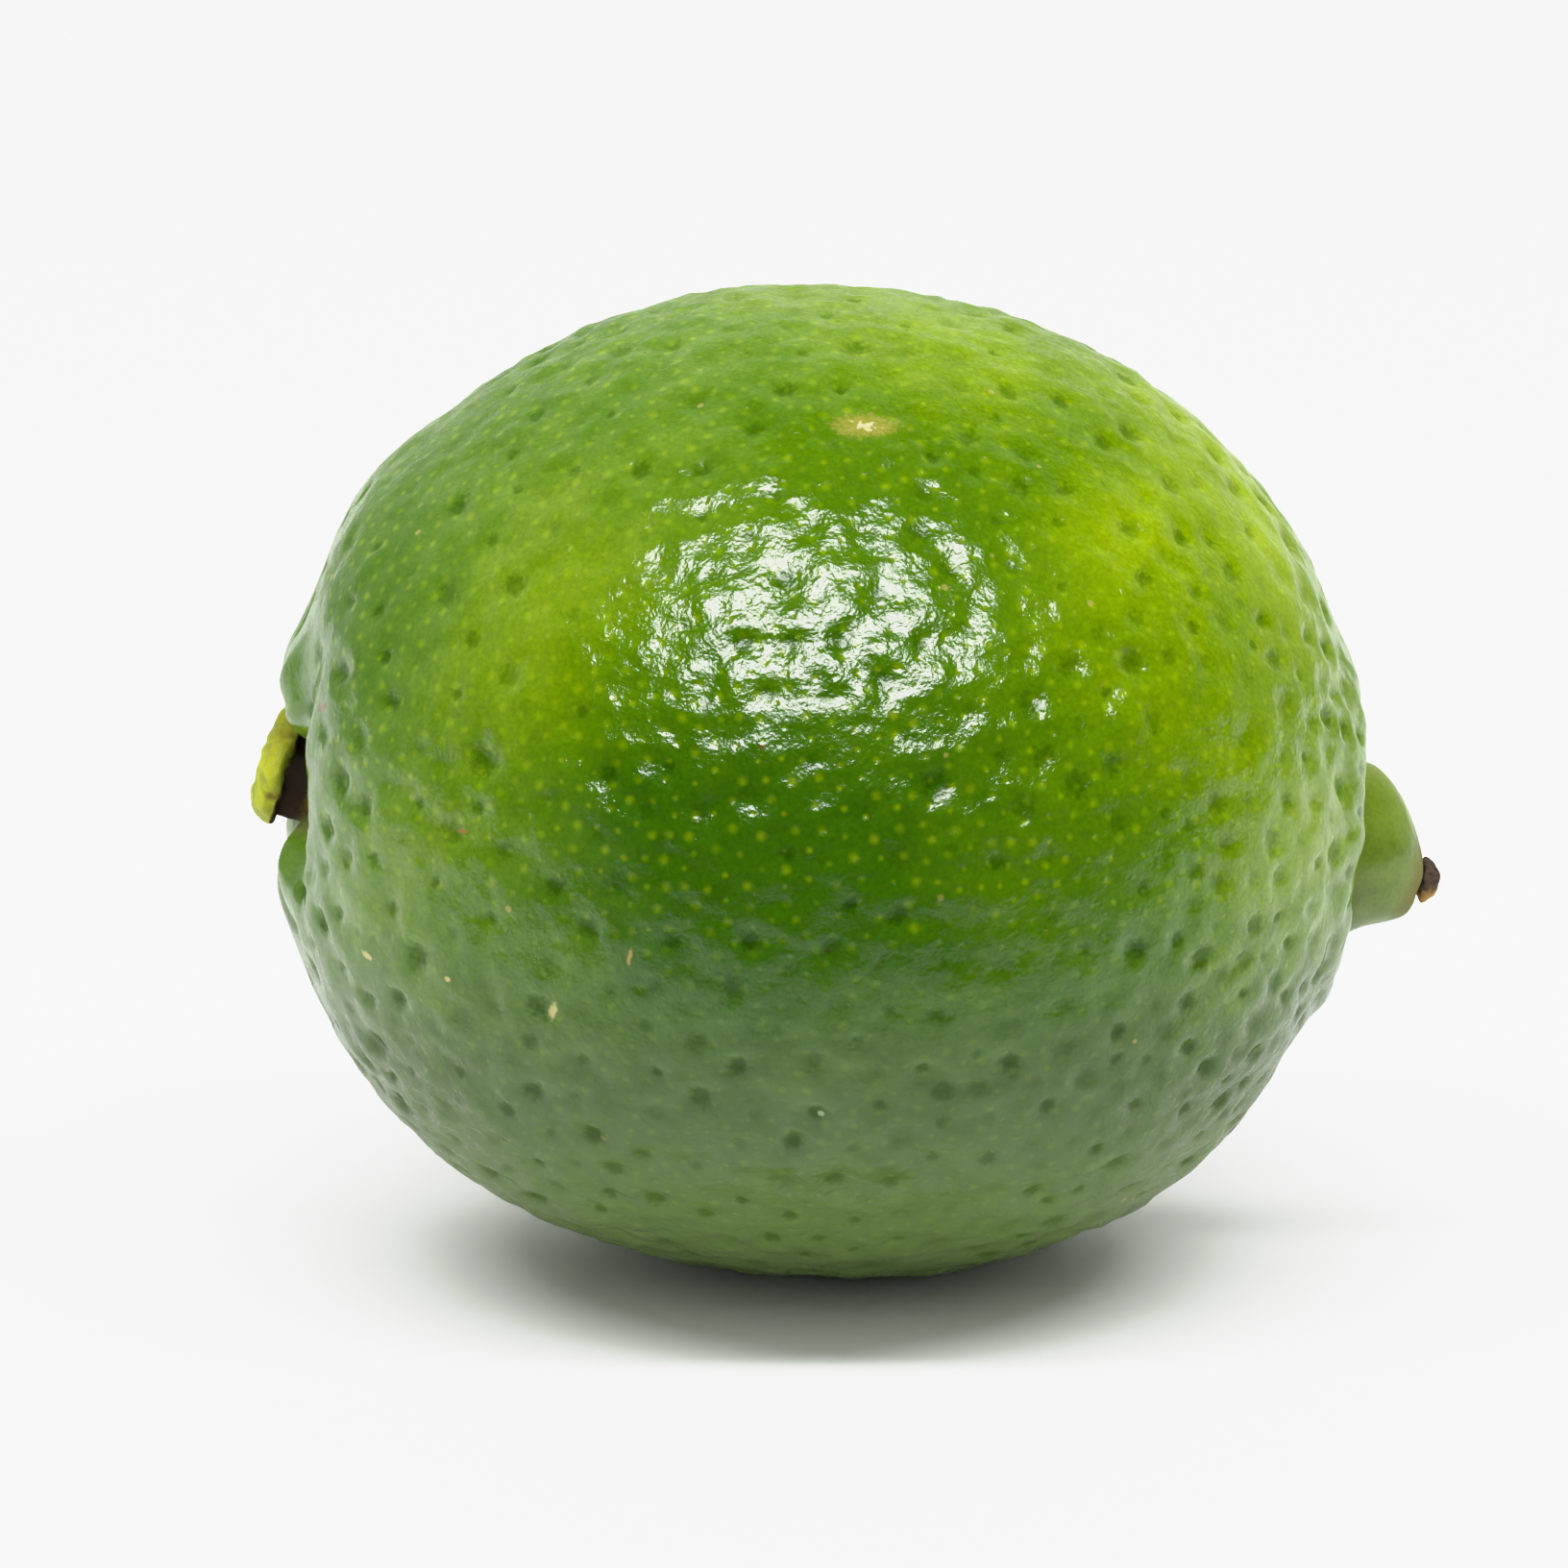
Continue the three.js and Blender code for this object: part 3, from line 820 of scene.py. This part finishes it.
class LIME_OT_fruit(bpy.types.Operator):
    """Draws a ball out into the fruit, pits its rind and gives it its glands and marks"""

    bl_idname = "lime.fruit"
    bl_label = "Fruit"

    def execute(self, context):
        sizes, colours = context.scene.lime_sizes, context.scene.lime_colours
        guide = smooth_guide()
        fruit = rough_fruit()
        for _ in range(2):
            apply_modifier(fruit, "SHRINKWRAP", target=guide, wrap_method="NEAREST_SURFACEPOINT")
            subdivide_smoothly(fruit, 1)
        bpy.data.objects.remove(guide)
        shape_rind(fruit, sizes)
        skin = skin_of(fruit.data)
        ripen(fruit, skin)
        set_glands(fruit, skin, sizes)
        set_marks(fruit, skin)
        settle(fruit, "fruit_rind")
        fruit.data.materials.append(rind_material(colours, sizes))
        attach(fruit, "root")
        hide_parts("lime_fruit")
        return {"FINISHED"}


# ---- calyx ----

CALYX_PLACE = Vector((-29.18, 0, 26.1))  # the middle of the disc's underside
CALYX_TURN = radians(18.6 - 90)  # from upright to facing out of the stem end, its lower edge proud
NECK_RADIUS = 2.15
NECK_LENGTH = 4.6
NECK_FLARE = 1.35  # how much wider the neck's foot is than its top
LOBES = 5
CALYX_SEGMENTS = 40
# Out from the neck's top: rise, radius at the end of the step.
CALYX_STEPS = ((-0.1, 2.6), (0.05, 3.05), (0.42, 3.2), (0.45, 3.0), (0.35, 2.4), (0.22, 1.75), (0.04, 1.35))
SCAR_STEPS = ((-0.18, 1.1), (-0.05, 0.85), (0.12, 0.5))
LOBE_CURL = (0.3, -0.25, 0.1, -0.35, 0.2)
LOBE_REACH = (0.06, -0.03, 0.03, -0.05, 0.02)  # how much further than the others each lobe reaches


def sepal_material(colours):
    """Citrus calyx: tough, matt sepals, yellow-green at their backs, that dry out dark brown; under the
    disc the dark brown is partly painted shade.
    """
    material, tree = start_material("sepal_tissue_drying")
    here = millimetre_place(tree)
    dry = kept(tree, "dry")
    cloudy = cloud(tree, here, 1.1, 4.0)
    fine = cloud(tree, here, 6.0, 3.0)
    colour = blend_colours(tree, fade(tree, cloudy, 0.35, 0.65), colours.sepal, linear("#87902a"))
    # Painted shade: the calyx turns a darker olive towards its top.
    upper = fade(tree, split(tree, here)["Z"], 26.0, 29.0, 0.0, 0.6)
    colour = blend_colours(tree, upper, colour, linear("#74741f"))
    colour = blend_colours(tree, fade(tree, fine, 0.55, 0.75, 0, 0.5), colour, linear("#b9b25a"))
    # Withered brown and near-black follow the dryness; under the disc that darkness is partly painted
    # shade.
    withered = fade(tree, calculate(tree, "MULTIPLY_ADD", cloudy, 0.35, dry), 0.45, 0.8)
    colour = blend_colours(tree, withered, colour, linear("#5a4a1e"))
    dead = fade(tree, calculate(tree, "MULTIPLY_ADD", fine, 0.3, dry), 0.85, 1.05)
    colour = blend_colours(tree, dead, colour, colours.dry_edge_and_painted_shade)
    height = calculate(tree, "MULTIPLY_ADD", fine, 0.06, times(tree, cloudy, 0.12))
    bump = add_node(tree, "Bump", {"Height": height, "Distance": MM, "Strength": 1.0}).outputs[0]
    inputs = {
        "Base Color": colour,
        "Roughness": fade(tree, dry, 0.2, 1.0, 0.6, 0.85),
        "IOR": 1.45,
        "Specular IOR Level": 0.12,
        "Normal": bump,
        "Subsurface Weight": 0.15,
        "Subsurface Radius": (0.8, 0.9, 0.2),
        "Subsurface Scale": 0.5 * MM,
    }
    finish_material(tree, add_node(tree, "BsdfPrincipled", inputs))
    return material


def start_stump(vertices, radius, depth, place, turn):
    """Opens a cylinder in edit mode: its mesh is upright and ends at the place, and the piece is turned."""
    deselect_all()
    bpy.ops.mesh.primitive_cylinder_add(
        vertices=vertices, radius=radius * MM, depth=depth * MM, location=place * MM, rotation=(0, turn, 0)
    )
    stump = bpy.context.object
    begin_edit(stump)
    shape = bmesh.from_edit_mesh(stump.data)
    bmesh.ops.translate(shape, verts=shape.verts, vec=(0, 0, -depth / 2 * MM))
    return stump


def grow_cap(piece, steps, radius):
    """Extrudes the picked top face, of this radius, in steps of rise and new radius, in millimetres."""
    for rise, end_radius in steps:
        bpy.ops.mesh.extrude_region()
        shape = bmesh.from_edit_mesh(piece.data)
        top = list({v for f in shape.faces if f.select for v in f.verts})
        bmesh.ops.scale(shape, verts=top, vec=(end_radius / radius, end_radius / radius, 1))
        bmesh.ops.translate(shape, verts=top, vec=(0, 0, rise * MM))
        bmesh.update_edit_mesh(piece.data)
        radius = end_radius


def lobe_place(place):
    """Where a point of the plain disc lies once the disc is drawn out and curled into lobes."""
    turn = atan2(place.y, place.x)
    outer = clamp((hypot(place.x, place.y) - 1.3) / 1.7) if place.z > -0.1 else 0
    lobe = int((turn / (2 * pi) * LOBES + 0.5) % LOBES)
    share = 0.5 + 0.5 * cos(LOBES * turn)
    spread = 1 + outer * (0.1 * share**0.5 - 0.08 + LOBE_REACH[lobe] * share)
    curl = LOBE_CURL[lobe] * share * outer**2 - 0.18 * outer * (1 - share) ** 3
    return Vector((place.x * spread, place.y * spread, place.z + curl))


def dryness(place):
    """From 0 on fresh sepals to 1 where they are darkest: underneath, where it is partly dead tissue and
    partly painted shade, in the scar and between the lobes.
    """
    radius = hypot(place.x, place.y)
    underneath = ease((0.1 - place.z) / 0.25) * (1 - 0.5 * ease((-place.z - 0.8) / 1.6))
    between_lobes = (0.5 - 0.5 * cos(LOBES * atan2(place.y, place.x))) ** 4
    groove = 0.5 * between_lobes * ease((radius - 1.2) / 1.8)
    scar = 0.85 * ease((1.45 - radius) / 0.25) - 0.4 * ease((1.1 - radius) / 0.5)
    return max(underneath, scar, groove)


class LIME_OT_calyx(bpy.types.Operator):
    """Grows the calyx: a short neck, a five-lobed disc that dries at its edge, and the stalk's scar"""

    bl_idname = "lime.calyx"
    bl_label = "Calyx"

    def execute(self, context):
        calyx = start_stump(CALYX_SEGMENTS, NECK_RADIUS, NECK_LENGTH, CALYX_PLACE, CALYX_TURN)
        shape = bmesh.from_edit_mesh(calyx.data)
        pick_faces(calyx, lambda middle, normal: normal.z < -0.9)
        foot = [v for v in shape.verts if v.select]
        bmesh.ops.scale(shape, verts=foot, vec=(NECK_FLARE, NECK_FLARE, 1))
        pick_faces(calyx, lambda middle, normal: normal.z > 0.9)
        grow_cap(calyx, CALYX_STEPS, NECK_RADIUS)
        grow_cap(calyx, SCAR_STEPS, CALYX_STEPS[-1][1])
        for vertex in bmesh.from_edit_mesh(calyx.data).verts:
            vertex.co = lobe_place(vertex.co / MM) * MM
        bmesh.update_edit_mesh(calyx.data)
        end_edit()
        subdivide_smoothly(calyx, 2)
        dry = []
        for vertex in calyx.data.vertices:
            place = vertex.co / MM
            radius = hypot(place.x, place.y)
            crumple = noise(place * 0.9) + 0.5 * noise(place * 2.3 + Vector((4, 1, 7)))
            around = 9 * atan2(place.y, place.x) / pi
            wrinkle = noise(Vector((around, radius / 2.5, place.z / 2)))
            vertex.co += vertex.normal * (0.16 * crumple + 0.08 * wrinkle * min(1, radius / 2)) * MM
            dry.append(dryness(place))
        calyx.data.attributes.new("dry", "FLOAT", "POINT").data.foreach_set("value", dry)
        settle(calyx, "calyx_sepals")
        calyx.data.materials.append(sepal_material(context.scene.lime_colours))
        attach(calyx, "root")
        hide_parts("calyx_button")
        return {"FINISHED"}


# ---- style stub ----

STUB_PLACE = Vector((30.3, 0, 20.1))
STUB_TURN = AXIS_TILT + pi / 2
STUB_SEGMENTS = 20
STUB_RADIUS = 1.25
STUB_ROOT = 0.45  # how deep its foot sits in the nipple's tip
STUB_STEPS = ((0.16, 1.05), (0.24, 0.85), (0.22, 0.6), (0.02, 0.3))


def dead_style_material(colours):
    """Dead style: shrivelled, corky tissue, almost black at its tip and rusty where it meets the rind."""
    material, tree = start_material("dead_style_corky")
    fine = cloud(tree, millimetre_place(tree), 3.0, 4.0)
    low = kept(tree, "low")
    rust = fade(tree, calculate(tree, "MULTIPLY_ADD", fine, 0.6, low), 0.75, 1.15)
    colour = blend_colours(tree, fade(tree, fine, 0.3, 0.7), colours.dry_style, linear("#2e261c"))
    colour = blend_colours(tree, rust, colour, linear("#94743f"))
    bump = add_node(tree, "Bump", {"Height": fine, "Distance": 0.2 * MM, "Strength": 1.0}).outputs[0]
    inputs = {"Base Color": colour, "Roughness": 0.8, "IOR": 1.45, "Specular IOR Level": 0.12}
    inputs["Normal"] = bump
    finish_material(tree, add_node(tree, "BsdfPrincipled", inputs))
    return material


class LIME_OT_style_stub(bpy.types.Operator):
    """Leaves the dry stub of the flower's style on the nipple's tip"""

    bl_idname = "lime.style_stub"
    bl_label = "Style stub"

    def execute(self, context):
        stub = start_stump(STUB_SEGMENTS, STUB_RADIUS, STUB_ROOT, STUB_PLACE, STUB_TURN)
        pick_faces(stub, lambda middle, normal: normal.z > 0.9)
        grow_cap(stub, STUB_STEPS, STUB_RADIUS)
        end_edit()
        subdivide_smoothly(stub, 2)
        low = []
        for vertex in stub.data.vertices:
            place = vertex.co / MM
            crumple = noise(place * 1.3) + 0.5 * noise(place * 3.5)
            vertex.co += vertex.normal * 0.12 * crumple * MM
            low.append(clamp(0.5 + place.x / 2))
        stub.data.attributes.new("low", "FLOAT", "POINT").data.foreach_set("value", low)
        settle(stub, "style_tip")
        stub.data.materials.append(dead_style_material(context.scene.lime_colours))
        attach(stub, "root")
        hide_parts("style_stub")
        return {"FINISHED"}


# ---- stage ----

CAMERA_ELEVATION = radians(14)
CAMERA_DISTANCE = 400
VIEW_WIDTH = 81.6  # of the picture, at the lime's middle
AIM_LEFT = 3.25  # the picture's middle is this far left of the lime's
AIM_DOWN = 0.37
SENSOR = 36
WHITE_LIMIT = 1.6  # the brightest light that the picture still tells from white
WHITE_CURVE = ((0.5, 0.5), (0.8, 0.785), (1.05, 0.87), (1.3, 0.91))  # light, how it is shown
WHITEST = 0.93  # how the limit is shown

# What lights the scene: place, aim, width, depth, watts, outline, and what doesn't show the light.
LIGHTS = {
    "key_softbox": ((-4, -461, 534), (0, 0, 25), 490, 350, 14.0, "ELLIPSE", "visible_diffuse"),
    "overhead_strip": ((0, -180, 700), (0, 0, 0), 1200, 110, 10.8, "RECTANGLE", "visible_glossy"),
    "backdrop_strip": ((0, 620, 620), (0, 560, 0), 1600, 200, 6.0, "RECTANGLE", "visible_glossy"),
}
ROOM_GLOW = 0.43

FLAG_DISTANCE = 92
FLAG_HEIGHT = 90
FLAG_WIDTH = 440
FOOT_END = 38  # where the card's fading foot ends on the floor, in front of the lime
DARK_ROOM_RADIUS = 1300
DARK_ROOM_EDGE = -150
DARK_ROOM_SLANT = (-0.13, 1, -0.36)  # square to the plane that the half-room ends at

SWEEP_HALF_WIDTH = 1500
SWEEP_FRONT = -1500
SWEEP_HEIGHT = 1600
SWEEP_BEND = 600
SWEEP_BEND_STEPS = 24


def studio_paper():
    """Seamless white paper: matt, with a grain too fine to show."""
    material, tree = start_material("seamless_paper_white")
    grain = cloud(tree, object_place(tree), 900.0, 2.0)
    colour = blend_colours(tree, grain, linear("#f1f1f1"), linear("#f5f5f5"))
    finish_material(tree, add_node(tree, "BsdfPrincipled", {"Base Color": colour, "Roughness": 0.9}))
    return material


def black_felt():
    """Black felt: it swallows the light and mirrors nothing."""
    material, tree = start_material("black_felt")
    inputs = {"Base Color": linear("#101010"), "Roughness": 1.0, "Specular IOR Level": 0.0}
    finish_material(tree, add_node(tree, "BsdfPrincipled", inputs))
    return material


def fading_gel():
    """A dark gel that thins to nothing towards the lime, so that the card's mirror image ends softly."""
    material, tree = start_material("dark_gel_fading")
    inputs = {"Value": split(tree, object_place(tree))["Y"], 1: -FLAG_DISTANCE * MM, 2: -FOOT_END * MM}
    clear = add_node(tree, "MapRange", inputs).outputs[0]
    dark = add_node(tree, "BsdfPrincipled", {"Base Color": linear("#101010"), "Roughness": 1.0})
    glass = add_node(tree, "BsdfTransparent")
    mix = add_node(tree, "MixShader", {0: clear, 1: dark.outputs[0], 2: glass.outputs[0]})
    finish_material(tree, mix)
    return material


def pick_back_edge(sweep):
    """Selects the floor's back edge, and nothing else."""
    bpy.ops.mesh.select_all(action="DESELECT")
    for edge in bmesh.from_edit_mesh(sweep.data).edges:
        if all(v.co.y > 0 and v.co.z < MM for v in edge.verts):
            edge.select_set(True)
    bmesh.update_edit_mesh(sweep.data)


def add_sweep():
    """Rolls the paper out as a floor and up behind it, with a wide bend."""
    deselect_all()
    bpy.ops.mesh.primitive_plane_add(size=2, location=(0, 0, 0))
    sweep = bpy.context.object
    begin_edit(sweep)
    bpy.ops.mesh.select_all(action="SELECT")
    bpy.ops.transform.resize(value=(SWEEP_HALF_WIDTH * MM, -SWEEP_FRONT * MM, 1))
    bpy.ops.mesh.select_mode(type="EDGE")
    pick_back_edge(sweep)
    bpy.ops.mesh.extrude_region_move(TRANSFORM_OT_translate={"value": (0, 0, SWEEP_HEIGHT * MM)})
    pick_back_edge(sweep)
    bpy.ops.mesh.bevel(offset=SWEEP_BEND * MM, segments=SWEEP_BEND_STEPS)
    end_edit()
    settle(sweep, "studio_sweep")
    sweep.data.materials.append(studio_paper())


def keep_for_reflections(piece, material):
    """Leaves a dark piece of the studio to show only as a reflection in the wax."""
    piece.data.materials.append(material)
    for ray in ("camera", "diffuse", "shadow", "transmission"):
        setattr(piece, f"visible_{ray}", False)


def add_card(name, place, turn, depth, material):
    """Sets up a flat card as wide as the flag, for reflections."""
    deselect_all()
    bpy.ops.mesh.primitive_plane_add(size=1, location=Vector(place) * MM, rotation=(turn, 0, 0))
    card = bpy.context.object
    card.scale = (FLAG_WIDTH * MM, depth * MM, 1)
    settle(card, name)
    keep_for_reflections(card, material)


def add_dark_front():
    """Sets up a low black card and a dark half-room behind it, which keep the rind's face deep green."""
    add_card("front_flag", (0, -FLAG_DISTANCE, FLAG_HEIGHT / 2), pi / 2, FLAG_HEIGHT, black_felt())
    foot_middle = -(FLAG_DISTANCE + FOOT_END) / 2
    add_card("flag_foot", (0, foot_middle, 0.5), 0, FLAG_DISTANCE - FOOT_END, fading_gel())
    deselect_all()
    bpy.ops.mesh.primitive_uv_sphere_add(segments=48, ring_count=24, radius=DARK_ROOM_RADIUS * MM)
    room = bpy.context.object
    begin_edit(room)
    bpy.ops.mesh.select_all(action="SELECT")
    edge = (0, DARK_ROOM_EDGE * MM, 0)
    bpy.ops.mesh.bisect(plane_co=edge, plane_no=DARK_ROOM_SLANT, clear_outer=True)
    end_edit()
    settle(room, "dark_room")
    keep_for_reflections(room, black_felt())


def add_light(name, place, aim, width, depth, watts, outline, hidden_from):
    """Hangs one soft light."""
    light = bpy.data.lights.new(name, "AREA")
    light.shape = outline
    light.size, light.size_y = width * MM, depth * MM
    light.energy = watts
    lamp = bpy.data.objects.new(name, light)
    lamp.location = Vector(place) * MM
    lamp.rotation_euler = (Vector(aim) - Vector(place)).to_track_quat("-Z", "Y").to_euler()
    setattr(lamp, hidden_from, False)
    bpy.context.scene.collection.objects.link(lamp)


def add_camera():
    """Sets the camera in front of the lime and a little above it."""
    back = Vector((0, -cos(CAMERA_ELEVATION), sin(CAMERA_ELEVATION)))
    up = Vector((0, sin(CAMERA_ELEVATION), cos(CAMERA_ELEVATION)))
    low, high = CAD_BOX
    middle = (low + high) / 2 / MM
    aim = middle - Vector((AIM_LEFT, 0, 0)) - up * AIM_DOWN
    camera = bpy.data.objects.new("camera", bpy.data.cameras.new("camera"))
    camera.data.sensor_width = SENSOR
    camera.data.lens = SENSOR * CAMERA_DISTANCE / VIEW_WIDTH
    camera.data.clip_start = 0.01
    camera.location = (aim + back * CAMERA_DISTANCE) * MM
    camera.rotation_euler = (-back).to_track_quat("-Z", "Y").to_euler()
    bpy.context.scene.collection.objects.link(camera)
    bpy.context.scene.camera = camera


def soften_whites(view):
    """Rolls off the brightest whites as a camera does, so that the paper is bright and not burnt out."""
    view.view_transform = "Standard"
    view.use_curve_mapping = True
    curve = view.curve_mapping.curves[3]
    view.curve_mapping.white_level = (WHITE_LIMIT, WHITE_LIMIT, WHITE_LIMIT)
    curve.points[1].location = (1, WHITEST)
    for level, shown in WHITE_CURVE:
        curve.points.new(level / WHITE_LIMIT, shown)
    view.curve_mapping.update()


class LIME_OT_stage(bpy.types.Operator):
    """Sets the white paper sweep, the soft lights, the room's glow and the camera"""

    bl_idname = "lime.stage"
    bl_label = "Stage"

    def execute(self, context):
        add_sweep()
        add_dark_front()
        for name, facts in LIGHTS.items():
            add_light(name, *facts)
        world = bpy.data.worlds.new("pale_room")
        world.use_nodes = True
        background = world.node_tree.nodes["Background"]
        background.inputs["Color"].default_value = (1, 1, 1, 1)
        background.inputs["Strength"].default_value = ROOM_GLOW
        context.scene.world = world
        soften_whites(context.scene.view_settings)
        add_camera()
        return {"FINISHED"}


class LIME_PT_panel(bpy.types.Panel):
    """Lists what builds the lime, in order"""

    bl_label = "Lime"
    bl_idname = "LIME_PT_panel"
    bl_space_type = "VIEW_3D"
    bl_region_type = "UI"
    bl_category = "Lime"

    def draw(self, context):
        for operator in OPERATORS:
            self.layout.operator(operator.bl_idname)
        for group in (context.scene.lime_sizes, context.scene.lime_colours):
            column = self.layout.column()
            for name in group.bl_rna.properties.keys():
                if name not in ("rna_type", "name"):
                    column.prop(group, name)


OPERATORS = (LIME_OT_fruit, LIME_OT_calyx, LIME_OT_style_stub, LIME_OT_stage)
CLASSES = (LimeSizes, LimeColours, *OPERATORS, LIME_PT_panel)


def register():
    """Adds the operators, the panel and the settings."""
    for cls in CLASSES:
        bpy.utils.register_class(cls)
    bpy.types.Scene.lime_sizes = bpy.props.PointerProperty(type=LimeSizes)
    bpy.types.Scene.lime_colours = bpy.props.PointerProperty(type=LimeColours)


def unregister():
    """Takes them away again."""
    del bpy.types.Scene.lime_sizes
    del bpy.types.Scene.lime_colours
    for cls in reversed(CLASSES):
        bpy.utils.unregister_class(cls)


def main():
    """Builds the lime and its stage."""
    register()
    bpy.ops.lime.fruit()
    bpy.ops.lime.calyx()
    bpy.ops.lime.style_stub()
    bpy.ops.lime.stage()


if __name__ == "__main__":
    main()
